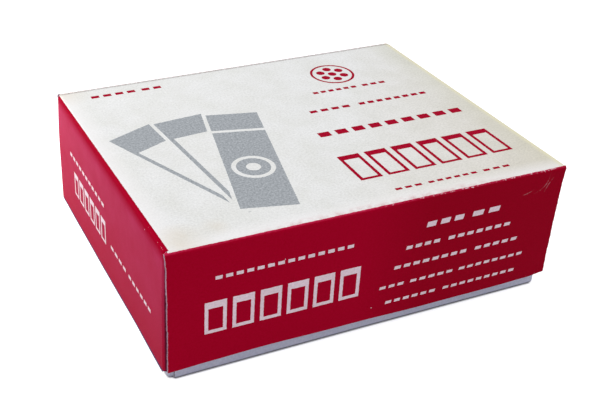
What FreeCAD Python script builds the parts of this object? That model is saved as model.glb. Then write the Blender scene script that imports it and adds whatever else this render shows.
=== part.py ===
"""A two-piece card box of glass microscope slides, standing closed.

The box is a tray and a lid, each cut and folded from one sheet of card. At
each corner the short wall turns a rounded bend into a tab, and the long
wall laps over that tab and stops short of the corner, so its cut end shows
as a raised line. The slides stand on edge in the tray, face to face.

Millimetres, +Z up. X runs along the slides and Y through the row of them.
The origin is under the middle of the tray, on the surface it stands on.
"""
import FreeCAD, Part
import os
import Sketcher

Vector = FreeCAD.Vector

# Driving sizes: alias, millimetres (or a count), and what it is.
SIZES = [
    ("slideLength", 76.2, "long edge of a slide"),
    ("slideWidth", 25.4, "short edge of a slide, upright in the box"),
    ("slideThickness", 1.17, "glass thickness"),
    ("slideGap", 0.03, "air between two slides"),
    ("slideCount", 50, "slides in the box"),
    ("groundEdge", 0.12, "bevel ground on every edge of a slide"),
    ("board", 0.5, "card thickness"),
    ("foldRadius", 0.3, "inside radius of a folded edge"),
    ("endRoom", 0.1, "slide's end to the start of the tray's fold"),
    ("sideRoom", 0.1, "outer slide to the tray's tabs"),
    ("headRoom", 1.3, "slides' upper edge to the tray's rim"),
    ("trayTab", 14.0, "glue tab of the tray, from the outside of the end"),
    ("traySetback", 0.9, "tray's long wall, short of the corner"),
    ("lidEndRoom", 1.0, "tray's end to the inside of the lid's end"),
    ("lidSideRoom", 0.4, "tray's long wall to the lid's tabs"),
    ("lidTab", 16.0, "glue tab of the lid, from the outside of the end"),
    ("lidSetback", 0.55, "lid's long wall, short of the corner"),
    ("trayReveal", 3.1, "tray left in view under the lid's rim"),
    ("tabRelief", 0.3, "tab's gap to the panel it stands over"),
    ("tabDrop", 0.4, "tab's edge, short of the rim"),
]

BEND = "(Sizes.foldRadius + Sizes.board)"
PITCH = "(Sizes.slideThickness + Sizes.slideGap)"
ROW = f"(Sizes.slideCount * {PITCH} - Sizes.slideGap)"

TRAY_LENGTH = f"(Sizes.slideLength + 2 * (Sizes.endRoom + {BEND}))"
TRAY_SIDE = "(Sizes.sideRoom + max(Sizes.board; Sizes.foldRadius) + Sizes.board)"
TRAY_WIDTH = f"({ROW} + 2 * {TRAY_SIDE})"
TRAY_HEIGHT = "(Sizes.board + Sizes.slideWidth + Sizes.headRoom)"

LID_LENGTH = f"({TRAY_LENGTH} + 2 * (Sizes.lidEndRoom + Sizes.board))"
LID_WIDTH = f"({TRAY_WIDTH} + 2 * (Sizes.lidSideRoom + 2 * Sizes.board))"
LID_TOP = f"({TRAY_HEIGHT} + Sizes.board)"
LID_DEPTH = f"({LID_TOP} - Sizes.trayReveal)"


def size_sheet(document):
    """The spreadsheet that holds the driving sizes, one per row."""
    sheet = document.addObject("Spreadsheet::Sheet", "Sizes")
    for row, (alias, size, meaning) in enumerate(SIZES, start=1):
        sheet.set(f"A{row}", alias)
        sheet.set(f"B{row}", str(size))
        sheet.setAlias(f"B{row}", alias)
        sheet.set(f"C{row}", meaning)
    document.recompute()
    return sheet


def origin_plane(body, role):
    """One of the body's own three base planes."""
    for feature in body.Origin.OriginFeatures:
        if feature.Role == role:
            return feature
    raise ValueError(f"{body.Label} has no {role}")


def sketch_on(body, role, name):
    """An empty sketch flat on one of the body's base planes."""
    sketch = body.newObject("Sketcher::SketchObject", name)
    sketch.AttachmentSupport = [(origin_plane(body, role), "")]
    sketch.MapMode = "FlatFace"
    return sketch


def add_outline(sketch, sheet, sides):
    """Draws a closed outline of level and upright sides.

    Each side is (axis, ordinate, bend): axis is "x" for an upright side and
    "y" for a level one, ordinate says where it lies, and bend is the radius
    of the corner between this side and the next, or None for a sharp one.
    """
    ordinates = [sheet.evalExpression(side[1]) for side in sides]
    radii = [sheet.evalExpression(side[2]) if side[2] else 0 for side in sides]

    def corner(index):
        """Where this side would meet the next without a bend."""
        following = (index + 1) % len(sides)
        pair = (ordinates[index], ordinates[following])
        x, y = pair if sides[index][0] == "x" else reversed(pair)
        return Vector(x, y, 0)

    lines = []
    for index, (axis, ordinate, _) in enumerate(sides):
        before, after = corner(index - 1), corner(index)
        along = (after - before).normalize()
        start = before + along * radii[index - 1]
        end = after - along * radii[index]
        line = sketch.addGeometry(Part.LineSegment(start, end), False)
        upright = axis == "x"
        sketch.addConstraint(
            Sketcher.Constraint("Vertical" if upright else "Horizontal", line))
        place = start.x if upright else start.y
        kind = "DistanceX" if upright else "DistanceY"
        bound = sketch.addConstraint(Sketcher.Constraint(kind, line, 1, place))
        sketch.setExpression(f"Constraints[{bound}]", ordinate)
        lines.append(line)

    for index, (_, _, bend) in enumerate(sides):
        line, following = lines[index], lines[(index + 1) % len(sides)]
        if not bend:
            sketch.addConstraint(
                Sketcher.Constraint("Coincident", line, 2, following, 1))
            continue
        add_bend(sketch, line, following, radii[index], bend)


def add_bend(sketch, line, following, radius, bend):
    """Joins two sides that meet at right angles with a quarter round."""
    start = sketch.getPoint(line, 2)
    end = sketch.getPoint(following, 1)
    along = (start - sketch.getPoint(line, 1)).normalize()
    across = (sketch.getPoint(following, 2) - end).normalize()
    centre = start + across * radius
    middle = centre + (along - across).normalize() * radius
    arc = sketch.addGeometry(Part.Arc(start, middle, end), False)
    first, last = sketch.getPoint(arc, 1), sketch.getPoint(arc, 2)
    near, far = (1, 2) if first.distanceToPoint(start) < last.distanceToPoint(start) else (2, 1)
    sketch.addConstraint(Sketcher.Constraint("Tangent", line, 2, arc, near))
    sketch.addConstraint(Sketcher.Constraint("Tangent", arc, far, following, 1))
    bound = sketch.addConstraint(Sketcher.Constraint("Radius", arc, radius))
    sketch.setExpression(f"Constraints[{bound}]", bend)


def add_pad(body, sketch, length, symmetric=False):
    """Pushes a sketch out to a length, one way or equally both ways."""
    pad = body.newObject("PartDesign::Pad", sketch.Name + "Pad")
    pad.Profile = sketch
    pad.SideType = "Symmetric" if symmetric else "One side"
    pad.setExpression("Length", length)
    return pad


def wrap_sides(span, depth):
    """A strip of card folded up at both ends: a floor and two walls."""
    outside = f"(0.5 * {span})"
    inside = f"({outside} - Sizes.board)"
    return [
        ("x", f"-{outside}", BEND),
        ("y", "0", BEND),
        ("x", outside, None),
        ("y", depth, None),
        ("x", inside, "Sizes.foldRadius"),
        ("y", "Sizes.board", "Sizes.foldRadius"),
        ("x", f"-{inside}", None),
        ("y", depth, None),
    ]


def tab_sides(length, width, tab, end, side):
    """A corner from above: the end wall's last stretch, its bend, its tab.

    end and side are "-" or "" and say which end and which long side.
    """
    wall = f"{end}(0.5 * {length})"
    wall_inside = f"{end}(0.5 * {length} - Sizes.board)"
    tab_end = f"{end}(0.5 * {length} - {tab})"
    lap = f"{side}(0.5 * {width} - Sizes.board)"
    lap_inside = f"{side}(0.5 * {width} - 2 * Sizes.board)"
    run_out = f"{side}(0.5 * {width} - 2 * Sizes.board - {BEND})"
    return [
        ("x", wall, BEND),
        ("y", lap, None),
        ("x", tab_end, None),
        ("y", lap_inside, "Sizes.foldRadius"),
        ("x", wall_inside, None),
        ("y", run_out, None),
    ]


def folded_box(document, sheet, name, length, width, depth, tab, setback):
    """A shallow box folded from card, floor down and open above."""
    body = document.addObject("PartDesign::Body", name)

    long_walls = sketch_on(body, "YZ_Plane", name + "LongWalls")
    add_outline(long_walls, sheet, wrap_sides(width, depth))
    add_pad(body, long_walls, f"{length} - 2 * Sizes.{setback}", symmetric=True)

    end_walls = sketch_on(body, "XZ_Plane", name + "EndWalls")
    add_outline(end_walls, sheet, wrap_sides(length, depth))
    add_pad(body, end_walls, f"{width} - 2 * (Sizes.board + {BEND})", symmetric=True)

    tabs = sketch_on(body, "XY_Plane", name + "Tabs")
    for end in ("-", ""):
        for side in ("-", ""):
            corner = tab_sides(length, width, f"Sizes.{tab}", end, side)
            add_outline(tabs, sheet, corner)
    tab_foot = "Sizes.board + Sizes.tabRelief"
    tabs.setExpression("AttachmentOffset.Base.z", tab_foot)
    add_pad(body, tabs, f"{depth} - Sizes.tabDrop - ({tab_foot})")
    return body


def glass_slide(document, sheet, number):
    """One slide on its long edge, in its place in the row."""
    name = f"slide_{number:02d}"
    body = document.addObject("PartDesign::Body", name)
    face = sketch_on(body, "XZ_Plane", name + "Face")
    add_outline(face, sheet, [
        ("x", "-0.5 * Sizes.slideLength", None),
        ("y", "0", None),
        ("x", "0.5 * Sizes.slideLength", None),
        ("y", "Sizes.slideWidth", None),
    ])
    plate = add_pad(body, face, "Sizes.slideThickness", symmetric=True)
    document.recompute()
    bevel = body.newObject("PartDesign::Chamfer", name + "GroundEdges")
    bevel.Base = (plate, ["Edge1"])
    bevel.UseAllEdges = True
    bevel.setExpression("Size", "Sizes.groundEdge")
    middle = f"{number} - 0.5 * (Sizes.slideCount + 1)"
    body.setExpression("Placement.Base.y", f"({middle}) * {PITCH}")
    body.setExpression("Placement.Base.z", "Sizes.board")
    return body


def build():
    document = FreeCAD.newDocument("SlideBox")
    sheet = size_sheet(document)

    tray = folded_box(document, sheet, "tray", TRAY_LENGTH, TRAY_WIDTH,
                      TRAY_HEIGHT, "trayTab", "traySetback")
    lid = folded_box(document, sheet, "lid", LID_LENGTH, LID_WIDTH,
                     LID_DEPTH, "lidTab", "lidSetback")
    lid.Placement = FreeCAD.Placement(Vector(), FreeCAD.Rotation(Vector(1, 0, 0), 180))
    lid.setExpression("Placement.Base.z", LID_TOP)
    slides = [glass_slide(document, sheet, number)
              for number in range(1, int(sheet.slideCount) + 1)]
    document.recompute()
    return document, [tray, lid] + slides


def check(document, pieces):
    """Stops before anything is written if a feature or a shape is bad."""
    for item in document.Objects:
        if "Invalid" in item.State or "Error" in item.State:
            raise RuntimeError(f"{item.Label} failed: {item.State}")
    for piece in pieces:
        if piece.Shape.isNull() or not piece.Shape.isValid():
            raise RuntimeError(f"{piece.Label} has no valid shape")
        if len(piece.Shape.Solids) != 1:
            raise RuntimeError(f"{piece.Label} isn't one solid")


def write(pieces):
    os.makedirs("parts", exist_ok=True)
    for piece in pieces:
        piece.Shape.exportStep(os.path.join("parts", piece.Label + ".step"))


model, nodes = build()
check(model, nodes)
write(nodes)
for node in nodes[:3]:
    box = node.Shape.BoundBox
    print(f"{node.Label}: {box.XLength:.2f} x {box.YLength:.2f} x {box.ZLength:.2f} mm,"
          f" z {box.ZMin:.2f} to {box.ZMax:.2f}, {node.Shape.Volume:.1f} mm3")
print(f"{len(nodes)} pieces")
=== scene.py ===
import math

import bpy
import numpy as np
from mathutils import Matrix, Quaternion, Vector


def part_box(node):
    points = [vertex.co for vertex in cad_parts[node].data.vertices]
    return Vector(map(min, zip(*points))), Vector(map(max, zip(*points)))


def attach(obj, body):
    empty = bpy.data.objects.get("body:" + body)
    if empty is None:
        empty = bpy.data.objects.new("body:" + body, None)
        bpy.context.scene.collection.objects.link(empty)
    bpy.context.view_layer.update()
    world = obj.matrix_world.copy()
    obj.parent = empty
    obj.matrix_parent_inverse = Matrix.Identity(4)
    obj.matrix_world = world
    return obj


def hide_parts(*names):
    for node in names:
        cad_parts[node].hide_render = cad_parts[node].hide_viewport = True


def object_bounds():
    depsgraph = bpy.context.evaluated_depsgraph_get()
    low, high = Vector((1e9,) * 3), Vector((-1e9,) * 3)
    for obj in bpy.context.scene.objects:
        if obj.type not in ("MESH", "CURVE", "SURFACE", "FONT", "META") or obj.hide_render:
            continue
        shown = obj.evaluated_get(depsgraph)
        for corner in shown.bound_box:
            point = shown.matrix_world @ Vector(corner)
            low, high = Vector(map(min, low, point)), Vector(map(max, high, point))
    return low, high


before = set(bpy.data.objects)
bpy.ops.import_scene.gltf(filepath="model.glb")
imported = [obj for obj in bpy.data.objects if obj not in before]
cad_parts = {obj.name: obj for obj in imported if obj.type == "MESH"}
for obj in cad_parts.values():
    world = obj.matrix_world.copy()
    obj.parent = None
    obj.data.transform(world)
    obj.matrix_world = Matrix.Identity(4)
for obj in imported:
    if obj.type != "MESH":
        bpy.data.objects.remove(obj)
cadLow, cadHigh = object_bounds()
mm = 0.001
tiny = 1e-6     # slack in comparing the places of mesh lines
scene = bpy.context.scene
print("frame loaded")


def linear(hexColour):
    # sRGB hex to linear light: c / 12.92 in the toe, ((c + 0.055) / 1.055) ^ 2.4 above it
    channels = [int(hexColour[i:i + 2], 16) / 255 for i in (1, 3, 5)]
    return [c / 12.92 if c <= 0.04045 else ((c + 0.055) / 1.055) ** 2.4 for c in channels] + [1.0]


def addNode(tree, kind, inputs=(), **settings):
    # one node: settings go on the node itself, inputs are numbers, colours, nodes or sockets
    node = tree.nodes.new("ShaderNode" + kind)
    for name, value in settings.items():
        setattr(node, name, value)
    pairs = inputs.items() if isinstance(inputs, dict) else enumerate(inputs)
    for name, value in pairs:
        source = value.outputs[0] if isinstance(value, bpy.types.Node) else value
        if isinstance(source, bpy.types.NodeSocket):
            tree.links.new(source, node.inputs[name])
        elif source is not None:
            node.inputs[name].default_value = source
    return node


def newMaterial(name):
    # an empty node tree with a Principled shader on its output
    material = bpy.data.materials.new(name)
    material.use_nodes = True
    tree = material.node_tree
    tree.nodes.clear()
    shader = addNode(tree, "BsdfPrincipled")
    addNode(tree, "OutputMaterial", {"Surface": shader})
    return material, tree, shader


def ripple(seed, wave, x, y=0.0, count=7):
    # smooth unevenness of about -1 to 1: twice the mean of count sine waves, each with its own
    # slant, phase and length near wave, so x and y may be whole arrays
    random = np.random.default_rng(seed)
    total = 0.0
    for _ in range(count):
        slant, phase = random.uniform(0, 2 * math.pi, 2)
        length = wave * random.uniform(0.6, 1.7)
        total = total + np.sin(2 * math.pi * (x * math.cos(slant) + y * math.sin(slant)) / length + phase)
    return total * 2 / count


# Folded card, in millimetres. Each sheet is one flat blank, folded: a panel, two side walls, two
# end walls, and a tab on each end of the end walls that is glued inside the side wall.

card = {
    "thickness": 0.48,      # a hair under the solid's 0.5, so that no two sheets share a face
    "foldSteps": 8,
    "glueGap": 0.02,        # tab to the wall it is glued to
    "step": 0.8,            # mesh lines on flat card
    "edgeStep": 0.22,       # mesh lines beside a cut edge
    "cutStep": 0.35,        # mesh lines down a side wall, whose cut end wanders
    "edgeZone": 0.88,       # how far from a cut edge those lines and its unevenness reach
    "bendZone": 3.0,        # how far from a rim its sagging reaches
    "earTaper": 0.45,       # the share of its width that an ear loses over the bend
    "growth": 0.4,          # the share of a side's bend by which its cut end has its full set-back
    "cutRipples": (4.2, 1.1), "rimRipple": 14.0,        # lengths of the waves in a cut edge
    "weld": 0.002,
    "sharp": 40.0,          # degrees past which an edge shows
}

lidSheet = {
    "name": "printed_lid", "node": "lid", "slot": "lid_card", "opensUp": False,
    "fold": 0.8,            # outside radius of a bend
    "square": 1.0,          # 1 is round: less squares up the left end's folds and the upright ones
    "outset": 0.0, "shift": 0.0,        # each end reaches further than the solid's, and all lies right
    "setback": (0.55, 0.55),            # a side wall stops short of the left and the right corner
    "tab": 16.0, "tabDrop": 0.4,        # its reach from the end's outside, and its drop below the rim
    "tabFrom": 1.0,         # the share of the end's bend at which the tab leaves it
    "pinch": 0.35,          # how much tighter the end's bend is at its cut
    "slack": 0.3, "slackDepth": 6.0,    # the tab stands off the side wall near the fold
    "bow": 0.14, "crown": 0.10,         # how far walls and panel bulge, most at the middle
    "easeIn": 0.35, "easeDepth": 12.0, "easeReach": 6.0,    # the left end's fold is soft and drawn in
    "flare": 0.42, "flareReach": 11.0,      # the front wall's cut ends splay near the fold
    "rimWave": 0.05, "cutWave": 0.045, "seed": 11,      # how uneven the cut edges are
    "rimBends": [           # where a wall's rim has sagged or lifted, fading out at reach
        {"kinds": ("end", "tab"), "at": (-40.5, -32.5), "reach": 20.0, "lift": -0.70},
        {"kinds": ("side",), "at": (-40.5, -32.5), "reach": 9.0, "lift": -0.22},
        {"kinds": ("side",), "at": (-17.0, -32.5), "reach": 24.0, "lift": 0.34},
        {"kinds": ("side",), "at": (4.0, -32.5), "reach": 20.0, "lift": 0.08},
        {"kinds": ("side",), "at": (36.0, -32.5), "reach": 7.0, "lift": 0.12},
        {"kinds": ("side",), "at": (40.5, -32.5), "reach": 5.0, "lift": 0.50},
    ],
}

traySheet = {
    "name": "plain_tray", "node": "tray", "slot": "tray_card", "opensUp": True,
    "fold": 0.8, "square": 0.45,
    "outset": 0.3, "shift": 0.12,
    "setback": (1.1, 0.5), "tab": 14.0, "tabDrop": 0.4, "tabFrom": 0.625,
    "pinch": 0.2, "slack": 0.05, "slackDepth": 3.0,
    "bow": 0.08, "crown": 0.0,
    "easeIn": 0.0, "easeDepth": 12.0, "easeReach": 6.0,
    "flare": 0.0, "flareReach": 11.0,
    "rimWave": 0.03, "cutWave": 0.03, "seed": 23,
    "rimBends": [],
}


def meshLines(*stops):
    # places of mesh lines: each stop is (place, widest step up to it), evenly spaced between stops
    lines = [np.array([stops[0][0]])]
    for (before, _), (place, step) in zip(stops, stops[1:]):
        count = max(1, math.ceil((place - before) / step - tiny))
        lines.append(np.linspace(before, place, count + 1)[1:])
    return np.concatenate(lines)


def foldWay(run, radius, square=1.0):
    # a strip's way over a fold, out and down: a quarter circle while run is under its arc, then
    # straight down. The circle's sine and cosine are raised to square, which makes it tighter below 1.
    turn = np.clip(run, 0, radius * math.pi / 2) / radius
    beyond = np.maximum(run - radius * math.pi / 2, 0)
    return radius * np.sin(turn) ** square, radius * (1 - np.cos(turn) ** square) + beyond


def sheetSizes(sheet):
    # the flat blank's measures, worked out from the CAD node's box: a wall is as long as the box
    # is deep, less the bend's radius and plus its arc, and a crease lies a radius inside the corner
    low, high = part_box(sheet["node"])
    radius = sheet["fold"]
    arc = radius * math.pi / 2
    depth = (high.z - low.z) / mm
    halfLength = high.x / mm + sheet["outset"]
    return {
        "halfLength": halfLength, "halfWidth": high.y / mm,
        "bottom": low.z / mm, "top": high.z / mm, "depth": depth,
        "creaseX": halfLength - radius, "creaseY": high.y / mm - radius,
        "tabCrease": high.y / mm - card["thickness"] - card["glueGap"] - radius,
        "radius": radius, "arc": arc,
        "longer": arc - radius,         # what a bend adds to the way round its corner, per wall
        "wall": depth - radius + arc,
        "tabRun": sheet["tab"] - radius + arc,
    }


def foldedPatch(sheet, size, kind, endSign, sideSign):
    # one stretch of the blank as a grid: its flat places (u, v) and its folded places (x, y, z).
    # The panel lies flat. A side or end wall follows foldWay over its crease, and an ear is the slip
    # of the end's bend that runs on to the panel's corner, narrower and tighter towards its cut.
    # A tab first goes down with its end wall, then follows foldWay over the upright crease and back
    # along the side.
    radius, arc, wall = size["radius"], size["arc"], size["wall"]
    fold, step, fine, zone = arc / card["foldSteps"], card["step"], card["edgeStep"], card["edgeZone"]
    a, b, t = size["creaseX"], size["creaseY"], size["tabCrease"]
    alongLines = meshLines((-a, 0), (zone - a, fine), (a - zone, step), (a, fine))
    acrossLines = meshLines((-t, 0), (zone - t, fine), (t - zone, step), (t, fine))
    square = sheet["square"] if endSign < 0 else 1.0
    tabTop = wall - sheet["tabDrop"]
    downLines = meshLines((0, 0), (arc, fold), (tabTop - zone, step), (tabTop, fine), (wall, fine))

    if kind == "panel":
        u, v = np.meshgrid(alongLines, np.concatenate([[-b], acrossLines, [b]]), indexing="ij")
        x, y, down = u, v, 0 * u
    elif kind == "side":
        ownLines = meshLines((0, 0), (arc, fold), (wall - zone, card["cutStep"]), (wall, fine))
        u, run = np.meshgrid(alongLines, ownLines, indexing="ij")
        out, down = foldWay(run, radius, np.interp(u, (-a, 0.0), (sheet["square"], 1.0)))
        v = sideSign * (b + run)
        x, y = u, sideSign * (b + out)
    elif kind == "end":
        v, run = np.meshgrid(acrossLines, downLines, indexing="ij")
        out, down = foldWay(run, radius, square)
        u = endSign * (a + run)
        x, y = endSign * (a + out), v
    elif kind == "ear":
        earLines = downLines[downLines <= sheet["tabFrom"] * arc + tiny]
        across, run = np.meshgrid([0.0, 0.5, 1.0], earLines, indexing="ij")
        tighter = radius * (1 - sheet["pinch"] * across)
        out, down = foldWay(run, tighter, np.interp(across, (0, 1), (square, 1.0)))
        u = endSign * (a + run)
        v = sideSign * (t + (b - t) * across * (1 - card["earTaper"] * run / arc))
        x, y = endSign * (a + out), v
    else:
        tabLines = meshLines((0, 0), (arc, fold), (size["tabRun"] - zone, step), (size["tabRun"], fine))
        tabDown = downLines[(downLines >= sheet["tabFrom"] * arc - tiny) & (downLines <= tabTop + tiny)]
        run, back = np.meshgrid(tabDown, tabLines, indexing="ij")
        reach, down = foldWay(run, radius, square)
        out, inward = foldWay(back, radius, sheet["square"])
        u, v = endSign * (a + run), sideSign * (t + back)
        # it stands off the side wall by slack, fading out evenly at slackDepth
        slack = sheet["slack"] * np.clip(1 - (down - radius) / sheet["slackDepth"], 0, 1) * out / radius
        x, y = endSign * (a + reach - inward), sideSign * (t + out - slack)

    # a wall springs out towards the middle of its rim, by half a cosine wave along it times its
    # depth, and the panel bulges towards its middle by one such wave each way
    share = down / size["depth"]
    lengthwise = np.cos(np.pi * x / (2 * size["halfLength"]))
    widthwise = np.cos(np.pi * y / (2 * size["halfWidth"]))
    if kind in ("side", "tab"):
        y = y + sideSign * sheet["bow"] * lengthwise * share * (out / radius)
    if kind == "end":
        x = x + endSign * sheet["bow"] * widthwise * share * (out / radius)
    if kind == "panel":
        down = down - sheet["crown"] * lengthwise * widthwise
    # a side wall's cut end comes out to its set-back over the fold, wanders by a long and a short
    # ripple, and at the front splays by the square of its nearness to the fold
    if kind == "side":
        long, short = card["cutRipples"]
        seed = sheet["seed"]
        nearCut = np.clip((np.abs(u) - a + zone) / zone, 0, 1) * np.clip(run / (card["growth"] * arc), 0, 1)
        longWave = np.where(u < 0, ripple(seed, long, run), ripple(seed + 1, long, run))
        wander = sheet["cutWave"] * (longWave + ripple(seed + 3, short, run))
        flare = sheet["flare"] * (sideSign < 0) * np.clip(1 - run / sheet["flareReach"], 0, 1) ** 2
        setback = np.where(u < 0, *sheet["setback"])
        x = x + np.sign(u) * nearCut * (radius - setback + wander + flare)
    # the left end's soft fold is drawn in, by the squares of the nearness to the end and to the fold
    below = run / (card["growth"] * arc) if kind == "side" else (down - radius) / sheet["easeDepth"]
    near = np.clip(1 - (a + x) / sheet["easeReach"], 0, 1) ** 2
    x = x + sheet["easeIn"] * near * (1 - np.clip(below, 0, 1)) ** 2
    # a rim wanders too, and it has sagged or lifted in places by a squared cosine of the way there
    if kind in ("side", "end", "tab"):
        nearRim = np.clip((run - wall + zone) / zone, 0, 1)
        lift = nearRim * sheet["rimWave"] * (1 + ripple(sheet["seed"] + 7, card["rimRipple"], u, v))
        nearRim = np.clip((run - wall + card["bendZone"]) / card["bendZone"], 0, 1)
        for bend in sheet["rimBends"]:
            if kind in bend["kinds"]:
                away = np.hypot(x - bend["at"][0], y - bend["at"][1]) / bend["reach"]
                lift = lift + bend["lift"] * nearRim * np.cos(np.minimum(away, 1) * np.pi / 2) ** 2
        down = down - lift
    z = size["bottom"] + down if sheet["opensUp"] else size["top"] - down
    return np.stack([u, v], -1), np.stack([x + sheet["shift"], y, z], -1)


def outwardFaces(places, first, centre):
    # the grid's quads, numbered from first and turned round if the grid faces the box's centre:
    # the normal is the cross product of the grid's two steps near its middle
    rows, columns = places.shape[:2]
    index = first + np.arange(rows * columns).reshape(rows, columns)
    quads = np.stack([index[:-1, :-1], index[1:, :-1], index[1:, 1:], index[:-1, 1:]], -1).reshape(-1, 4)
    row, column = (rows - 1) // 2, columns - 2
    corner = places[row, column]
    normal = np.cross(places[row + 1, column] - corner, places[row, column + 1] - corner)
    return quads[:, ::-1] if np.dot(normal, corner - centre) < 0 else quads


def foldedCard(sheet, materials):
    # the whole blank: all its patches in one mesh, welded along the creases, then given its thickness
    size = sheetSizes(sheet)
    centre = np.array([0, 0, (size["bottom"] + size["top"]) / 2])
    patches = [("panel", 0, 0), ("side", 0, -1), ("side", 0, 1), ("end", -1, 0), ("end", 1, 0)]
    corners = [(endSign, sideSign) for endSign in (-1, 1) for sideSign in (-1, 1)]
    patches += [(kind, *corner) for kind in ("ear", "tab") for corner in corners]
    flats, folded, faces, first = [], [], [], 0
    for patch in patches:
        flat, places = foldedPatch(sheet, size, *patch)
        flats.append(flat.reshape(-1, 2))
        folded.append(places.reshape(-1, 3))
        faces.append(outwardFaces(places, first, centre))
        first += flat.shape[0] * flat.shape[1]

    mesh = bpy.data.meshes.new(sheet["name"])
    mesh.from_pydata(np.concatenate(folded) * mm, [], np.concatenate(faces).tolist())
    blank = mesh.uv_layers.new(name="blank")
    used = np.zeros(len(mesh.loops), np.int32)
    mesh.loops.foreach_get("vertex_index", used)
    blank.uv.foreach_set("vector", np.concatenate(flats)[used].astype(np.float32).ravel())
    for material in materials:
        mesh.materials.append(material)
    piece = bpy.data.objects.new(sheet["name"], mesh)
    scene.collection.objects.link(piece)

    weld = piece.modifiers.new("weld", "WELD")
    weld.merge_threshold = card["weld"] * mm
    solidify = piece.modifiers.new("thickness", "SOLIDIFY")
    solidify.thickness = card["thickness"] * mm
    solidify.offset = -1
    solidify.use_even_offset = True
    solidify.material_offset = 1        # the inside face
    solidify.material_offset_rim = 2    # the cut edge
    bpy.context.view_layer.update()
    evaluated = piece.evaluated_get(bpy.context.evaluated_depsgraph_get())
    finished = bpy.data.meshes.new_from_object(evaluated)
    piece.modifiers.clear()
    piece.data = finished
    finished.shade_smooth()
    finished.set_sharp_from_angle(angle=math.radians(card["sharp"]))

    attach(piece, sheet["node"])
    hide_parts(sheet["node"])
    print(sheet["name"], len(finished.polygons), "faces")


# Masks for print and wear: each is 1 where the ink or mark lies and 0 elsewhere.

def either(tree, masks):
    # the union of several masks
    joined = masks[0]
    for mask in masks[1:]:
        joined = addNode(tree, "Math", (joined, mask), operation="MAXIMUM")
    return joined


def both(tree, *masks):
    # where all of several masks hold
    joined = masks[0]
    for mask in masks[1:]:
        joined = addNode(tree, "Math", (joined, mask), operation="MULTIPLY")
    return joined


def without(tree, mask, hole):
    # a mask less another: mask * (1 - hole)
    return both(tree, mask, addNode(tree, "Math", (1.0, hole), operation="SUBTRACT"))


def within(tree, place, centre, half):
    # 1 where place is no further than half from centre
    return addNode(tree, "Math", (place, centre, half), operation="COMPARE")


def rising(tree, value, start, end):
    # 0 at start and before it, 1 at end and beyond, evenly between
    return addNode(tree, "MapRange", (value, start, end, 0.0, 1.0))


def beside(tree, place, line, reach):
    # 1 on a line, falling evenly to 0 at reach on either side
    offset = addNode(tree, "Math", (place, line), operation="SUBTRACT")
    return rising(tree, addNode(tree, "Math", (offset,), operation="ABSOLUTE"), reach, 0.0)


def distance(tree, place, x, y):
    # how far place is from the point (x, y)
    return addNode(tree, "VectorMath", (place, (x, y, 0)), operation="DISTANCE").outputs["Value"]


def marbled(tree, value, low, high, dark, pale):
    # the colour that runs from dark to pale as value goes from low to high
    return addNode(tree, "MixRGB", (rising(tree, value, low, high), linear(dark), linear(pale)))


# Print on the lid, in millimetres: rows of plain marks, rows of upright slides, a badge of dots and a
# fan of three slides. Places are x and y on the top, and x or y with the height below the top on a wall.

topPrint = {
    "marks": [
        {"start": -34.0, "base": 26.3, "tall": 2.8, "groups": (9.6, 4.3), "gap": 1.5, "high": 0.40},
        {"start": 10.3, "base": 11.9, "tall": 2.0, "groups": (10.4, 5.6), "gap": 1.5, "high": 0.48},
        {"start": 5.4, "base": 3.7, "tall": 2.5, "groups": (9.2, 16.2), "gap": 2.3, "high": 0.42},
        {"start": 2.3, "base": -6.9, "tall": 4.2, "groups": (33.0,), "gap": 0.0, "high": 0.44},
        {"start": 5.3, "base": -29.3, "tall": 2.0, "groups": (5.5, 10.5, 5.8), "gap": 1.5, "high": 0.34},
    ],
    "slides": {"start": 1.2, "base": -23.3, "tall": 9.4, "count": 6, "pitch": 5.8, "wide": 4.6,
               "stroke": 0.7, "label": 1.6},
}

frontPrint = {
    "marks": [
        {"start": -31.3, "base": -8.1, "tall": 2.3, "groups": (26.4,), "gap": 0.0},
        {"start": 10.2, "base": -7.9, "tall": 3.6, "groups": (7.9, 6.0), "gap": 2.0, "slant": 0.2},
        {"start": 6.3, "base": -11.4, "tall": 2.4, "groups": (7.2, 13.8), "gap": 1.9, "slant": 0.2},
        {"start": 4.2, "base": -15.2, "tall": 2.3, "groups": (15.7, 9.6), "gap": 2.0, "slant": 0.2},
        {"start": 1.5, "base": -19.1, "tall": 2.3, "groups": (5.1, 9.3, 14.6), "gap": 1.5, "slant": 0.2,
         "high": 0.26},
        {"start": 3.1, "base": -22.7, "tall": 2.3, "groups": (10.9, 16.5), "gap": 1.8, "slant": 0.2,
         "high": 0.26},
    ],
    "slides": {"start": -33.2, "base": -18.3, "tall": 6.6, "count": 6, "pitch": 5.22, "wide": 4.1,
               "stroke": 0.68, "label": 1.4},
}

endPrint = {
    "marks": [
        {"start": -22.5, "base": -10.4, "tall": 2.5, "groups": (22.6,), "gap": 0.0},
        {"start": 3.9, "base": -17.2, "tall": 2.4, "groups": (8.7, 11.6), "gap": 1.6},
    ],
    "slides": {"start": -20.2, "base": -17.5, "tall": 5.2, "count": 6, "pitch": 3.62, "wide": 2.85,
               "stroke": 0.5, "label": 1.2},
}

markShape = {       # of every row that doesn't say otherwise
    "pitch": 0.84, "high": 0.30,    # shares of a row's height
    "wide": 0.66,                   # share of the pitch
}

badge = {"centre": (19.0, 20.5), "rim": 4.9, "line": 0.55, "ring": 2.6, "dot": 0.95, "count": 6}

picture = {
    "slides": [
        {"centre": (-24.6, -6.9), "turn": 23.0, "wide": 10.6, "long": 36.5, "solid": False},
        {"centre": (-19.3, -6.2), "turn": 5.0, "wide": 10.6, "long": 36.5, "solid": False},
        {"centre": (-14.0, -7.6), "turn": -13.0, "wide": 10.6, "long": 36.5, "solid": True},
    ],
    "gap": 0.8, "line": 0.9, "label": 7.5, "cover": 3.7, "spot": 1.4, "spotPlace": -4.0,
}

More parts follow.
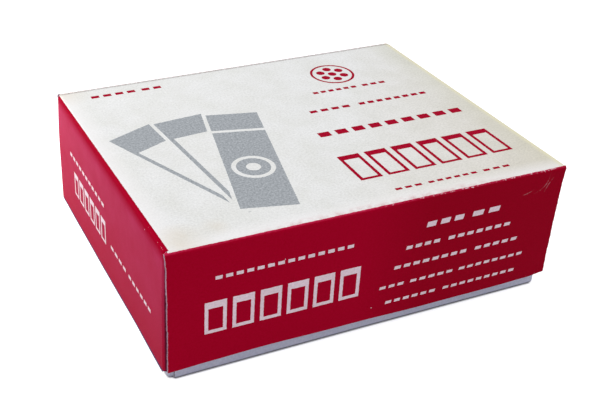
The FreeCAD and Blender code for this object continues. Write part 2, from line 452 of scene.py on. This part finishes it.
field = {
    "left": 0.2, "right": 0.62, "front": 0.48, "back": 0.15,    # white ground past each crease
    "skew": 0.009,          # the print sits a little askew on the board
    "corner": 0.05,         # and the front left corner's white is cut off aslant
}


def markRow(tree, along, across, row, lift):
    # a line of marks: each group is cut into even steps of about pitch times the row's height, and
    # the marks lie along the row's middle
    slant = row.get("slant", 0.0)
    high = row["tall"] * row.get("high", markShape["high"])
    middle = row["base"] + row["tall"] / 2 + lift
    upright = addNode(tree, "Math", (across, -slant, along), operation="MULTIPLY_ADD")
    start = row["start"] - slant * middle
    spans = []
    for group in row["groups"]:
        count = max(1, round(group / (row["tall"] * markShape["pitch"])))
        pitch = group / (count - 1 + markShape["wide"])
        shifted = addNode(tree, "Math", (upright, start), operation="SUBTRACT")
        local = addNode(tree, "Math", (shifted, pitch), operation="FLOORED_MODULO")
        dashes = addNode(tree, "Math", (local, pitch * markShape["wide"]), operation="LESS_THAN")
        spans.append(both(tree, within(tree, upright, start + group / 2, group / 2), dashes))
        start += group + row["gap"]
    return both(tree, either(tree, spans), within(tree, across, middle, high / 2))


def slideRow(tree, along, across, row, lift):
    # a row of upright slides: each an outline whose label end is filled in
    middle = row["base"] + row["tall"] / 2 + lift
    span = row["pitch"] * row["count"]
    start = row["start"] - (row["pitch"] - row["wide"]) / 2
    shifted = addNode(tree, "Math", (along, start), operation="SUBTRACT")
    local = addNode(tree, "Math", (shifted, row["pitch"]), operation="FLOORED_MODULO")
    outer = both(tree, within(tree, local, row["pitch"] / 2, row["wide"] / 2),
                 within(tree, across, middle, row["tall"] / 2))
    clear = (row["tall"] - row["label"] - row["stroke"]) / 2
    inner = both(tree, within(tree, local, row["pitch"] / 2, row["wide"] / 2 - row["stroke"]),
                 within(tree, across, row["base"] + row["stroke"] + clear + lift, clear))
    return both(tree, within(tree, shifted, span / 2, span / 2), without(tree, outer, inner))


def facePrint(tree, along, across, layout, lift=0.0):
    # every row that is printed on one face
    rows = [markRow(tree, along, across, row, lift) for row in layout["marks"]]
    return either(tree, rows + [slideRow(tree, along, across, layout["slides"], lift)])


def roundBadge(tree, place):
    # a ring of dots round a middle one, inside a thin rim
    x, y = badge["centre"]
    masks = [within(tree, distance(tree, place, x, y), badge["rim"] - badge["line"] / 2, badge["line"] / 2)]
    centres = [(x, y)]
    for i in range(badge["count"]):
        angle = 2 * math.pi * (i + 0.5) / badge["count"]
        centres.append((x + badge["ring"] * math.cos(angle), y + badge["ring"] * math.sin(angle)))
    masks += [within(tree, distance(tree, place, *centre), 0.0, badge["dot"]) for centre in centres]
    return either(tree, masks)


def fannedSlides(tree, place):
    # slides spread like a hand of cards: the lower ones in outline with a filled label, the last
    # filled in but for its label line, the ring of its cover glass and a spot
    drawn = None
    line, gap = picture["line"], picture["gap"]
    for slide in picture["slides"]:
        halfWide, halfLong = slide["wide"] / 2, slide["long"] / 2
        turned = addNode(tree, "Mapping", {"Vector": place, "Location": (*slide["centre"], 0),
                         "Rotation": (0, 0, math.radians(slide["turn"]))}, vector_type="TEXTURE")
        axes = addNode(tree, "SeparateXYZ", (turned,))
        x, y = axes.outputs["X"], axes.outputs["Y"]
        body = both(tree, within(tree, x, 0, halfWide), within(tree, y, 0, halfLong))
        halo = both(tree, within(tree, x, 0, halfWide + gap), within(tree, y, 0, halfLong + gap))
        if slide["solid"]:
            away = distance(tree, turned, 0, picture["spotPlace"])
            bare = [within(tree, y, halfLong - picture["label"], line / 2),
                    within(tree, away, picture["cover"], line / 2),
                    within(tree, away, 0.0, picture["spot"])]
            inked = without(tree, body, either(tree, bare))
        else:
            clear = halfLong - (picture["label"] + line) / 2
            inside = both(tree, within(tree, x, 0, halfWide - line),
                          within(tree, y, line + clear - halfLong, clear))
            inked = without(tree, body, inside)
        drawn = inked if drawn is None else either(tree, [without(tree, drawn, halo), inked])
    return drawn


# Wear on the lid, with painted highlights, sheen and shade among it, in the same millimetres. A
# pair is where something starts and where it is full.

wear = {
    "rub": {            # white board showing where a fold has rubbed
        "reach": 0.7, "grain": 0.65, "grainShare": 0.42, "level": (0.94, 1.00), "depth": 0.85,
        "frontInset": 0.2, "alongFront": (-34.0, 14.0),     # worn most to the right
        "leftInset": 0.4, "alongLeft": (-8.0, -31.0),       # worn most to the front
    },
    # painted highlight: a brighter red along the front fold, where light falls on its rounding
    "redFoldHighlight": {"reach": 0.45, "grain": (0.25, 0.6), "colour": "#d8325c"},       # along the front fold
    # painted sheen: the ends' red made paler and pinker, most near the top, mottled, and none along the
    # fold
    "endSheen": {          # the ends' ink is scuffed pale, most near the top, and clean along the fold
        "below": (1.2, 3.0), "down": (28.0, 0.0), "cloud": (-0.2, 0.7), "depth": 0.19, "colour": "#ff74b2",
    },
    "smear": {          # ink dragged on to the white beside the front fold
        "from": (-26.0, -14.0), "to": (30.0, 18.0), "reach": 1.5, "grain": 1.5, "level": (0.40, 0.70),
        "depth": 0.6, "colour": "#d08a8c",
    },
    "specks": {"spacing": 4.6, "radius": 0.10, "share": 0.03},
    "scratch": {"reach": 0.16, "grain": (0.38, 0.75), "depth": 0.5},
    "scratches": [      # arcs on the front: centre, radius, and the part of it that shows
        {"centre": (33.3, -1.2), "radius": 3.45, "middle": (36.0, -3.4), "reach": 2.9},
        {"centre": (30.5, 2.2), "radius": 6.7, "middle": (32.2, -4.3), "reach": 1.4},
        {"centre": (44.0, -7.5), "radius": 8.4, "middle": (36.7, -3.3), "reach": 1.8},
    ],
    "chips": {"reach": 0.05, "grain": (0.30, 0.50)},        # beside the raw end of a side wall
    # painted shade in the gap where an end's fold meets the side wall's cut end
    "creviceShade": {"past": (0.55, 0.85), "depth": 0.85, "colour": "#2c0010"},      # grime under that end
    # raw board along an end wall's rim, darkened as painted shade
    "rawRimShade": {"above": (0.55, 0.35), "grain": (0.10, 0.35), "colour": "#453c66"},      # of an end wall
    "stain": {"colour": "#d9c79f", "cloud": (0.2, 0.7)},
    "stains": [
        {"centre": (-36.2, -29.6), "reach": 5.5, "depth": 0.55},
        {"centre": (-29.5, -27.8), "reach": 3.0, "depth": 0.40},
        {"centre": (-39.0, 31.0), "reach": 6.5, "depth": 0.45},
    ],
    "yellowed": {"inset": 0.5, "reach": 1.2, "grain": (0.1, 0.5), "colour": "#f0ecc6"},     # right fold
    # a darker grey-brown line along the back fold
    "darkenedFold": {         # along the back fold
        "inset": 0.5, "reach": 0.55, "grain": (0.2, 0.6), "depth": 0.8, "colour": "#9a8f88",
    },
}


def foldWear(tree, spot, edges):
    # where the folds have lost their ink: grain rises above a level that drops towards the fold
    rub = wear["rub"]
    frontFold = both(tree, beside(tree, spot["v"], edges["front"] - rub["frontInset"], rub["reach"]),
                     rising(tree, spot["u"], *rub["alongFront"]))
    leftFold = both(tree, beside(tree, spot["u"], edges["left"] - rub["leftInset"], rub["reach"]),
                    rising(tree, spot["v"], *rub["alongLeft"]))
    level = addNode(tree, "Math", (either(tree, [frontFold, leftFold]), rub["grainShare"], spot["rub"]),
                    operation="MULTIPLY_ADD")
    return both(tree, rising(tree, level, *rub["level"]), rub["depth"])


def looseMarks(tree, spot, frontFace):
    # small specks, one to a cell in a share of the cells, and the arcs of the scratches
    specks, scratch = wear["specks"], wear["scratch"]
    cells = addNode(tree, "TexVoronoi", {"Vector": spot["blank"], "Scale": 1 / specks["spacing"]},
                    voronoi_dimensions="2D")
    chosen = addNode(tree, "SeparateColor", (cells.outputs["Color"],))
    inSpeck = addNode(tree, "Math", (cells.outputs["Distance"], specks["radius"] / specks["spacing"]),
                      operation="LESS_THAN")
    inShare = addNode(tree, "Math", (chosen.outputs["Red"], specks["share"]), operation="LESS_THAN")
    masks = [both(tree, inSpeck, inShare)]
    for arc in wear["scratches"]:
        onArc = beside(tree, distance(tree, frontFace, *arc["centre"]), arc["radius"], scratch["reach"])
        shown = rising(tree, distance(tree, frontFace, *arc["middle"]), arc["reach"], 0.0)
        broken = rising(tree, spot["rub"], *scratch["grain"])
        masks.append(both(tree, onArc, shown, broken, scratch["depth"]))
    return either(tree, masks)


def wornInk(tree, spot, size, edges):
    # everywhere that the walls' red has gone. The front's own places are x and the height below the top.
    a, b = size["creaseX"], size["creaseY"]
    height = addNode(tree, "Math", (spot["v"], b + size["longer"]), operation="ADD")
    frontFace = addNode(tree, "CombineXYZ", (spot["u"], height))
    onSides = addNode(tree, "Math", (spot["absV"], b), operation="GREATER_THAN")
    chips = both(tree, onSides, beside(tree, spot["absU"], a, wear["chips"]["reach"]),
                 rising(tree, spot["rub"], *wear["chips"]["grain"]))
    return either(tree, [foldWear(tree, spot, edges), looseMarks(tree, spot, frontFace), chips])


# The lid's coated white and its inks: colours from dark to pale, and noise levels that they run between.

coating = {
    "grain": 0.42, "cloud": 7.0,            # paper grain, coarser than real so that it shows, and smudges
    "nibble": 0.55, "bite": 0.16,           # a printed edge's grain and how far it strays, coarser too
    "white": ("#e0e2dd", "#fcfef9"), "whiteLevel": (0.30, 0.66),
    "smudge": ("#f7f7f4", "#ffffff"), "smudgeLevel": (0.30, 0.62),
    "warm": ("#ffffff", "#efe8da"), "warmSlant": -0.6, "warmFrom": (10.0, 65.0),    # right and front
    "wall": "#ffe9f4",                      # the bare marks on the walls
    "right": "#f6f7f0", "rightFrom": (33.0, 39.5),
    # painted highlight: the white made whiter along the front and left folds, where light falls on their
    # turn
    "whiteFoldHighlight": "#fefdf9", "highlightReach": (3.5, 4.5), "highlightDepth": 0.7,     # along front and left folds
    "grey": ("#878d8f", "#c3c9ca"), "greyLevel": (0.34, 0.66),
    "red": ("#a3001b", "#b0002a"), "redLevel": (0.3, 0.7),
    # the long walls' red is darker towards their right half
    "darkerRed": "#e9e9d0", "darkerFrom": (-3.0, 11.0),      # more ink on the long walls' right half
    "gloss": 0.01, "cleanGloss": 0.0015, "cleanFrom": (-0.4, 0.2), "cleanTo": (1.2, 4.5),
    "roughness": 0.60, "inkSmoother": 0.08,
    "bump": 0.25, "relief": 0.02,
    "sheen": 0.03, "sheenRoughness": 0.5, "sheenTint": "#8484ff",
}


def boardPlaces(tree):
    # what the lid's patterns read: places on the blank, strayed a little by noise as a printed edge
    # is, and the noises of the grain, the clouds and the rubbing (size, detail and roughness)
    blank = addNode(tree, "UVMap", uv_map="blank")
    grains = {"fine": (coating["grain"], 4.0, 0.8), "cloud": (coating["cloud"], 3.0, 0.6),
              "rub": (wear["rub"]["grain"], 3.0, 0.6)}
    noises = {name: addNode(tree, "TexNoise", {"Vector": blank, "Scale": 1 / grain, "Detail": detail,
                                               "Roughness": roughness}).outputs["Fac"]
              for name, (grain, detail, roughness) in grains.items()}
    nibble = addNode(tree, "TexNoise", {"Vector": blank, "Scale": 1 / coating["nibble"], "Detail": 2.0})
    stray = addNode(tree, "VectorMath", (nibble.outputs["Color"], (0.5, 0.5, 0.5)), operation="SUBTRACT")
    bite = (coating["bite"], coating["bite"], 0.0)
    nibbled = addNode(tree, "VectorMath", (stray, bite, blank), operation="MULTIPLY_ADD")
    flat = addNode(tree, "SeparateXYZ", (nibbled,))
    u, v = flat.outputs["X"], flat.outputs["Y"]
    absU, absV = (addNode(tree, "Math", (place,), operation="ABSOLUTE") for place in (u, v))
    return {"blank": blank, "nibbled": nibbled, "u": u, "v": v, "absU": absU, "absV": absV, **noises}


def printedPlaces(tree, spot, size, edges):
    # where the white ground, the walls and each ink lie. The back and right walls read their print
    # with u and v turned round, so that each pair of walls shares one layout.
    u, v, nibbled = spot["u"], spot["v"], spot["nibbled"]
    a, b = size["creaseX"], size["creaseY"]
    centreU, halfU = (edges["left"] + edges["right"]) / 2, (edges["right"] - edges["left"]) / 2
    centreV, halfV = (edges["front"] + edges["back"]) / 2, (edges["back"] - edges["front"]) / 2
    skewed = addNode(tree, "Math", (v, field["skew"], u), operation="MULTIPLY_ADD")
    diagonal = addNode(tree, "Math", (u, v), operation="ADD")
    onTop = both(tree, within(tree, skewed, centreU, halfU), within(tree, v, centreV, halfV),
                 addNode(tree, "Math", (diagonal, -a - b - field["corner"]), operation="GREATER_THAN"))
    farSide = either(tree, [addNode(tree, "Math", (u, edges["right"]), operation="GREATER_THAN"),
                            addNode(tree, "Math", (v, edges["back"]), operation="GREATER_THAN")])
    turn = addNode(tree, "Math", (farSide, -2.0, 1.0), operation="MULTIPLY_ADD")
    wallU = addNode(tree, "Math", (u, turn), operation="MULTIPLY")
    wallV = addNode(tree, "Math", (v, turn), operation="MULTIPLY")
    reading = addNode(tree, "Math", (wallV, -1.0), operation="MULTIPLY")
    onSide = addNode(tree, "Math", (wallV, edges["front"]), operation="LESS_THAN")
    onEnd = addNode(tree, "Math", (wallU, edges["left"]), operation="LESS_THAN")

    # a height below the top becomes a place on the blank once the fold's longer way round is added
    longer = size["longer"]
    bareOnSide = both(tree, onSide, facePrint(tree, wallU, wallV, frontPrint, -b - longer))
    bareOnEnd = both(tree, onEnd, facePrint(tree, reading, wallU, endPrint, -a - longer))
    walls = addNode(tree, "Math", (1.0, onTop), operation="SUBTRACT")
    redOnTop = either(tree, [facePrint(tree, u, v, topPrint), roundBadge(tree, nibbled)])
    return {
        "onTop": onTop, "onSide": onSide, "walls": walls,
        "redWalls": without(tree, walls, either(tree, [bareOnSide, bareOnEnd])),
        "redOnTop": both(tree, onTop, redOnTop),
        "grey": both(tree, onTop, fannedSlides(tree, nibbled)),
    }


def coatedWhite(tree, spot, edges, printed):
    # the white under the print: fine mottle, broad smudges, a warmer tone towards the right and the
    # front, stains, a painted highlight along the front and left folds, and along three folds: yellowing
    # on the right, a darker line on the back, and smeared ink on the front
    u, v, rub = spot["u"], spot["v"], spot["rub"]
    paper = marbled(tree, spot["fine"], *coating["whiteLevel"], *coating["white"])
    smudge = marbled(tree, spot["cloud"], *coating["smudgeLevel"], *coating["smudge"])
    paper = addNode(tree, "MixRGB", (1.0, paper, smudge), blend_type="MULTIPLY")
    bareWall = addNode(tree, "MixRGB", (1.0, paper, linear(coating["wall"])), blend_type="MULTIPLY")
    slope = addNode(tree, "Math", (v, coating["warmSlant"], u), operation="MULTIPLY_ADD")
    warmth = marbled(tree, slope, *coating["warmFrom"], *coating["warm"])
    paper = addNode(tree, "MixRGB", (1.0, paper, warmth), blend_type="MULTIPLY")
    rightward = addNode(tree, "MixRGB", (1.0, paper, linear(coating["right"])), blend_type="MULTIPLY")
    paper = addNode(tree, "MixRGB", (rising(tree, u, *coating["rightFrom"]), paper, rightward))
    # painted highlight along the front and left folds
    frontReach, leftReach = coating["highlightReach"]
    besideFolds = either(tree, [beside(tree, v, edges["front"], frontReach),
                                beside(tree, u, edges["left"], leftReach)])
    whiteFoldHighlight = both(tree, besideFolds, coating["highlightDepth"])
    paper = addNode(tree, "MixRGB", (whiteFoldHighlight, paper, linear(coating["whiteFoldHighlight"])))
    for stain in wear["stains"]:
        amount = rising(tree, distance(tree, spot["nibbled"], *stain["centre"]), stain["reach"], 0.0)
        amount = both(tree, amount, rising(tree, spot["cloud"], *wear["stain"]["cloud"]), stain["depth"])
        paper = addNode(tree, "MixRGB", (amount, paper, linear(wear["stain"]["colour"])))

    yellowed, darkenedFold, smear = wear["yellowed"], wear["darkenedFold"], wear["smear"]
    rightEdge = both(tree, beside(tree, u, edges["right"] - yellowed["inset"], yellowed["reach"]),
                     rising(tree, rub, *yellowed["grain"]))
    paper = addNode(tree, "MixRGB", (rightEdge, paper, linear(yellowed["colour"])))
    # a darker grey-brown line along the back fold, broken by the rub grain
    backEdge = both(tree, beside(tree, v, edges["back"] - darkenedFold["inset"], darkenedFold["reach"]),
                    rising(tree, rub, *darkenedFold["grain"]), darkenedFold["depth"])
    paper = addNode(tree, "MixRGB", (backEdge, paper, linear(darkenedFold["colour"])))
    stretch = both(tree, rising(tree, u, *smear["from"]), rising(tree, u, *smear["to"]))
    blotches = addNode(tree, "TexNoise", {"Vector": spot["blank"], "Scale": 1 / smear["grain"],
                                          "Detail": 4.0})
    smeared = both(tree, printed["onTop"], stretch, beside(tree, v, edges["front"], smear["reach"]),
                   rising(tree, blotches.outputs["Fac"], *smear["level"]), smear["depth"])
    paper = addNode(tree, "MixRGB", (smeared, paper, linear(smear["colour"])))
    return addNode(tree, "MixRGB", (printed["walls"], paper, bareWall))


def redInk(tree, spot, edges, printed, endDown):
    # the red: a little darker on the right of the long walls, with a painted highlight along the front
    # fold, and a painted sheen on the ends, pale and mottled
    ink = marbled(tree, spot["fine"], *coating["redLevel"], *coating["red"])
    # darker red towards the right of the long walls
    darkerRight = both(tree, printed["onSide"], rising(tree, spot["u"], *coating["darkerFrom"]))
    darkerRed = addNode(tree, "MixRGB", (1.0, ink, linear(coating["darkerRed"])), blend_type="MULTIPLY")
    ink = addNode(tree, "MixRGB", (darkerRight, ink, darkerRed))
    redFoldHighlight, endSheen = wear["redFoldHighlight"], wear["endSheen"]
    # painted highlight along the front fold, broken by the rub grain
    redHighlighted = both(tree, beside(tree, spot["v"], edges["front"], redFoldHighlight["reach"]),
                    rising(tree, spot["rub"], *redFoldHighlight["grain"]))
    ink = addNode(tree, "MixRGB", (redHighlighted, ink, linear(redFoldHighlight["colour"])))
    # painted sheen on the ends, paler most near the top and mottled by the clouds
    paintedSheen = both(tree, rising(tree, endDown, *endSheen["below"]), rising(tree, endDown, *endSheen["down"]),
                   rising(tree, spot["cloud"], *endSheen["cloud"]), endSheen["depth"])
    return addNode(tree, "MixRGB", (paintedSheen, ink, linear(endSheen["colour"])))


def printedBoard(size):
    # folding board, printed in red and grey on a white coating and thinly varnished: even colour with
    # a soft sheen, paper grain in the bare white, and white showing where the folds have rubbed
    material, tree, shader = newMaterial("printed_folding_board")
    a, b = size["creaseX"], size["creaseY"]
    edges = {"left": -a - field["left"], "right": a + field["right"],
             "front": -b - field["front"], "back": b + field["back"]}
    spot = boardPlaces(tree)
    endDown = addNode(tree, "Math", (spot["absU"], a), operation="SUBTRACT")
    printed = printedPlaces(tree, spot, size, edges)
    worn = wornInk(tree, spot, size, edges)
    red = either(tree, [without(tree, printed["redWalls"], worn), printed["redOnTop"]])
    greyInk = marbled(tree, spot["fine"], *coating["greyLevel"], *coating["grey"])
    colour = addNode(tree, "MixRGB", (printed["grey"], coatedWhite(tree, spot, edges, printed), greyInk))
    colour = addNode(tree, "MixRGB", (red, colour, redInk(tree, spot, edges, printed, endDown)))

    # painted shade where an end's fold meets the side wall's cut, and raw board along an end's rim, partly
    # painted shade
    creviceShade, rawRimShade = wear["creviceShade"], wear["rawRimShade"]
    shadedCrevice = both(tree, addNode(tree, "Math", (spot["absU"], a), operation="GREATER_THAN"),
                 rising(tree, spot["absV"], *(size["tabCrease"] + past for past in creviceShade["past"])),
                 creviceShade["depth"])
    colour = addNode(tree, "MixRGB", (shadedCrevice, colour, linear(creviceShade["colour"])))
    # raw board along an end's rim, in a dark slate colour that is partly painted shade
    rawAndShade = both(tree, rising(tree, spot["absU"], *(a + size["wall"] - above for above in rawRimShade["above"])),
               rising(tree, spot["rub"], *rawRimShade["grain"]))
    colour = addNode(tree, "MixRGB", (rawAndShade, colour, linear(rawRimShade["colour"])))
    tree.links.new(colour.outputs[0], shader.inputs["Base Color"])

    # the ink is a little smoother than the coating, and the ink along an end's fold throws back
    # less light than the ink below it, which carries the painted sheen
    roughness = addNode(tree, "Math", (red, -coating["inkSmoother"], coating["roughness"]),
                        operation="MULTIPLY_ADD")
    tree.links.new(roughness.outputs[0], shader.inputs["Roughness"])
    clean = without(tree, rising(tree, endDown, *coating["cleanFrom"]),
                    rising(tree, endDown, *coating["cleanTo"]))
    gloss = addNode(tree, "MapRange", (clean, 0.0, 1.0, coating["gloss"], coating["cleanGloss"]))
    tree.links.new(gloss.outputs[0], shader.inputs["Specular IOR Level"])
    bump = addNode(tree, "Bump", {"Strength": coating["bump"], "Distance": coating["relief"] * mm,
                                  "Height": spot["fine"]})
    tree.links.new(bump.outputs[0], shader.inputs["Normal"])
    shader.inputs["Sheen Weight"].default_value = coating["sheen"]
    shader.inputs["Sheen Roughness"].default_value = coating["sheenRoughness"]
    shader.inputs["Sheen Tint"].default_value = linear(coating["sheenTint"])
    return material


# Bare board: its fibre, and the painted shade along the tray's bottom fold, in millimetres.

board = {
    "fleck": 0.4, "cloud": 7.0, "cloudShare": 0.35, "level": (0.50, 0.80),
    "bump": 0.3, "relief": 0.03, "roughness": 0.85, "gloss": 0.3,
    # painted shade along the tray's bottom fold, broken into flecks
    "foldShade": {"start": (0.0, 0.2), "stop": (0.8, 1.15), "fleck": (0.1, 0.5), "colour": "#3c3e4a"},
}


def bareBoard(name, pale, dark, shadedFold=None):
    # uncoated board, matt: grey recycled fibre as fine flecks over broad clouds, inside the card and
    # along its cut edge. On the tray's lined outside, the last argument is the sheet's size, and painted
    # shade darkens the bottom fold in flecks.
    material, tree, shader = newMaterial(name)
    place = addNode(tree, "VectorMath", {0: addNode(tree, "TexCoord").outputs["Object"], "Scale": 1 / mm},
                    operation="SCALE")
    flecks = addNode(tree, "TexNoise", {"Vector": place, "Scale": 1 / board["fleck"], "Detail": 4.0,
                                        "Roughness": 0.75}).outputs["Fac"]
    clouds = addNode(tree, "TexNoise", {"Vector": place, "Scale": 1 / board["cloud"], "Detail": 2.0})
    fibre = addNode(tree, "Math", (clouds.outputs["Fac"], board["cloudShare"], flecks),
                    operation="MULTIPLY_ADD")
    colour = marbled(tree, fibre, *board["level"], dark, pale)
    # painted shade over the tray's bottom fold: the ends all along, the long sides between the creases
    if shadedFold:
        foldShade = board["foldShade"]
        flat = addNode(tree, "SeparateXYZ", (addNode(tree, "UVMap", uv_map="blank"),))
        absU, absV = (addNode(tree, "Math", (flat.outputs[axis],), operation="ABSOLUTE") for axis in "XY")
        strips = []
        for away, crease in ((absU, shadedFold["creaseX"]), (absV, shadedFold["creaseY"])):
            strips.append(without(tree, rising(tree, away, *(crease + reach for reach in foldShade["start"])),
                                  rising(tree, away, *(crease + reach for reach in foldShade["stop"]))))
        onSide = within(tree, absU, 0.0, shadedFold["creaseX"])
        onFold = either(tree, [strips[0], both(tree, strips[1], onSide)])
        darkenedFold = both(tree, onFold, rising(tree, flecks, *foldShade["fleck"]))
        colour = addNode(tree, "MixRGB", (darkenedFold, colour, linear(foldShade["colour"])))
    tree.links.new(colour.outputs[0], shader.inputs["Base Color"])
    bump = addNode(tree, "Bump", {"Strength": board["bump"], "Distance": board["relief"] * mm,
                                  "Height": flecks})
    tree.links.new(bump.outputs[0], shader.inputs["Normal"])
    shader.inputs["Roughness"].default_value = board["roughness"]
    shader.inputs["Specular IOR Level"].default_value = board["gloss"]
    return material


glass = {
    "bevel": 0.14, "grit": 0.12,    # mm: ground edge, and its grinding marks, coarser than real to show
    "clearRoughness": 0.02, "groundRoughness": 0.4, "groundRange": 0.25,
    "clear": "#f1f8f5", "ground": "#d3e6dd", "groundThrough": 0.45, "ior": 1.52,
}


def slideGlass():
    # soda-lime float glass: clear and faintly green, with edges ground matt all round
    material, tree, shader = newMaterial("soda_lime_glass")
    low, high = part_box("slide_01")
    place = addNode(tree, "TexCoord").outputs["Object"]
    axes = addNode(tree, "SeparateXYZ", (place,))
    bevel = glass["bevel"] * mm
    clear = both(tree, within(tree, axes.outputs["X"], 0.0, high.x - bevel),
                 within(tree, axes.outputs["Z"], (low.z + high.z) / 2, (high.z - low.z) / 2 - bevel))
    grit = addNode(tree, "TexNoise", {"Vector": place, "Scale": 1 / (glass["grit"] * mm), "Detail": 2.0})
    matt = addNode(tree, "Math", (grit.outputs["Fac"], glass["groundRange"], glass["groundRoughness"]),
                   operation="MULTIPLY_ADD")
    roughness = addNode(tree, "Mix", {0: clear, 2: matt, 3: glass["clearRoughness"]}, data_type="FLOAT")
    colour = addNode(tree, "MixRGB", (clear, linear(glass["ground"]), linear(glass["clear"])))
    through = addNode(tree, "Mix", {0: clear, 2: glass["groundThrough"], 3: 1.0}, data_type="FLOAT")
    tree.links.new(roughness.outputs[0], shader.inputs["Roughness"])
    tree.links.new(colour.outputs[0], shader.inputs["Base Color"])
    tree.links.new(through.outputs[0], shader.inputs["Transmission Weight"])
    shader.inputs["IOR"].default_value = glass["ior"]
    return material


camera = {
    "place": (-86.72, -159.48, 118.9),      # millimetres, degrees
    "azimuth": -24.48, "elevation": 31.18, "roll": 1.52,
    "lens": 61.07, "sensor": 36.0, "shift": (0.1156, -0.0027), "clip": (10.0, 20000.0),
}


def aimedAt(place, target, roll=0.0):
    # the turn that points -Z from place to target, rolled about that line
    turn = (Vector(target) - Vector(place)).to_track_quat("-Z", "Y")
    return turn @ Quaternion((0, 0, 1), math.radians(roll))


def fromAngles(azimuth, elevation):
    # unit vector towards a place at that azimuth and elevation: azimuth 0 is the front, 90 the right
    a, e = math.radians(azimuth), math.radians(elevation)
    return Vector((math.sin(a) * math.cos(e), -math.cos(a) * math.cos(e), math.sin(e)))


def makeCamera():
    # a camera at its place that looks down the line of its azimuth and elevation
    data = bpy.data.cameras.new("camera")
    data.lens = camera["lens"]
    data.sensor_width = camera["sensor"]
    data.shift_x, data.shift_y = camera["shift"]
    data.clip_start, data.clip_end = (clip * mm for clip in camera["clip"])
    piece = bpy.data.objects.new("camera", data)
    scene.collection.objects.link(piece)
    place = Vector(camera["place"]) * mm
    piece.location = place
    piece.rotation_mode = "QUATERNION"
    outlook = fromAngles(camera["azimuth"], camera["elevation"])
    piece.rotation_quaternion = aimedAt(place, place - outlook, camera["roll"])
    scene.camera = piece


studio = {
    "lamps": [
        {"name": "overhead", "azimuth": -60.0, "elevation": 75.0, "distance": 700.0, "size": 500.0,
         "power": 1.88, "colour": "#fffdf8"},
        {"name": "side", "azimuth": -140.0, "elevation": 10.0, "distance": 150.0, "size": 70.0,
         "power": 0.10, "colour": "#fffdf8"},
    ],
    "fillColour": "#eae9f4", "fillStrength": 0.66,
    "floorColour": "#e9e9ea", "floorSize": 6000.0, "floorDrop": 0.02, "floorGlow": 0.75,
    "contact": 0.3,         # how far the dark line under the tray reaches
}


def seenDirectly(tree):
    # rays that show the backdrop itself: the camera's, and those that glass or gloss passes on
    path = addNode(tree, "LightPath")
    rays = ("Is Camera Ray", "Is Glossy Ray", "Is Transmission Ray")
    return either(tree, [path.outputs[ray] for ray in rays])


def makeStudio():
    # a broad lamp overhead, a low one behind on the left, an even pale fill, and a pale floor that
    # is dark only close under the tray
    middle = (cadLow + cadHigh) / 2
    for lamp in studio["lamps"]:
        data = bpy.data.lights.new(lamp["name"], "AREA")
        data.shape = "DISK"
        data.size = lamp["size"] * mm
        data.energy = lamp["power"]
        data.color = linear(lamp["colour"])[:3]
        piece = bpy.data.objects.new(lamp["name"], data)
        scene.collection.objects.link(piece)
        piece.location = middle + fromAngles(lamp["azimuth"], lamp["elevation"]) * lamp["distance"] * mm
        piece.rotation_mode = "QUATERNION"
        piece.rotation_quaternion = aimedAt(piece.location, middle)

    world = bpy.data.worlds.new("studio")
    scene.world = world
    world.use_nodes = True
    tree = world.node_tree
    tree.nodes.clear()
    fill = addNode(tree, "Background", (linear(studio["fillColour"]), studio["fillStrength"]))
    backdrop = addNode(tree, "Background", (linear("#ffffff"), 1.0))
    mixed = addNode(tree, "MixShader", (seenDirectly(tree), fill, backdrop))
    addNode(tree, "OutputWorld", {"Surface": mixed})

    mesh = bpy.data.meshes.new("floor")
    half, level = studio["floorSize"] * mm / 2, -studio["floorDrop"] * mm
    corners = [(-half, -half, level), (half, -half, level), (half, half, level), (-half, half, level)]
    mesh.from_pydata(corners, [], [(0, 1, 2, 3)])
    floor = bpy.data.objects.new("floor", mesh)
    scene.collection.objects.link(floor)
    material = bpy.data.materials.new("pale_floor")
    material.use_nodes = True
    tree = material.node_tree
    tree.nodes.clear()
    matt = addNode(tree, "BsdfDiffuse", (linear(studio["floorColour"]),))
    opened = addNode(tree, "AmbientOcclusion", {"Distance": studio["contact"] * mm})
    lift = both(tree, seenDirectly(tree), opened.outputs["AO"], opened.outputs["AO"], studio["floorGlow"])
    glow = addNode(tree, "Emission", (linear("#ffffff"), lift))
    addNode(tree, "OutputMaterial", {"Surface": addNode(tree, "AddShader", (matt, glow))})
    mesh.materials.append(material)


scene.view_settings.view_transform = "Standard"
makeCamera()
makeStudio()
print("studio ready")

inside = bareBoard("grey_board_inside", "#cfccc6", "#b9b5af")
cutEdge = bareBoard("cut_board_edge", "#bdb7c0", "#8f8892")
inkedEdge = bareBoard("ink_stained_board_edge", "#b897aa", "#6c4a60")
lining = bareBoard("white_lined_board", "#d0d3e1", "#c0c3d4", shadedFold=sheetSizes(traySheet))
foldedCard(lidSheet, [printedBoard(sheetSizes(lidSheet)), inside, inkedEdge])
foldedCard(traySheet, [lining, inside, cutEdge])

glazing = slideGlass()
for name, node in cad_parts.items():
    if name.startswith("slide_"):
        node.data.materials.clear()
        node.data.materials.append(glazing)
print("slides glazed")
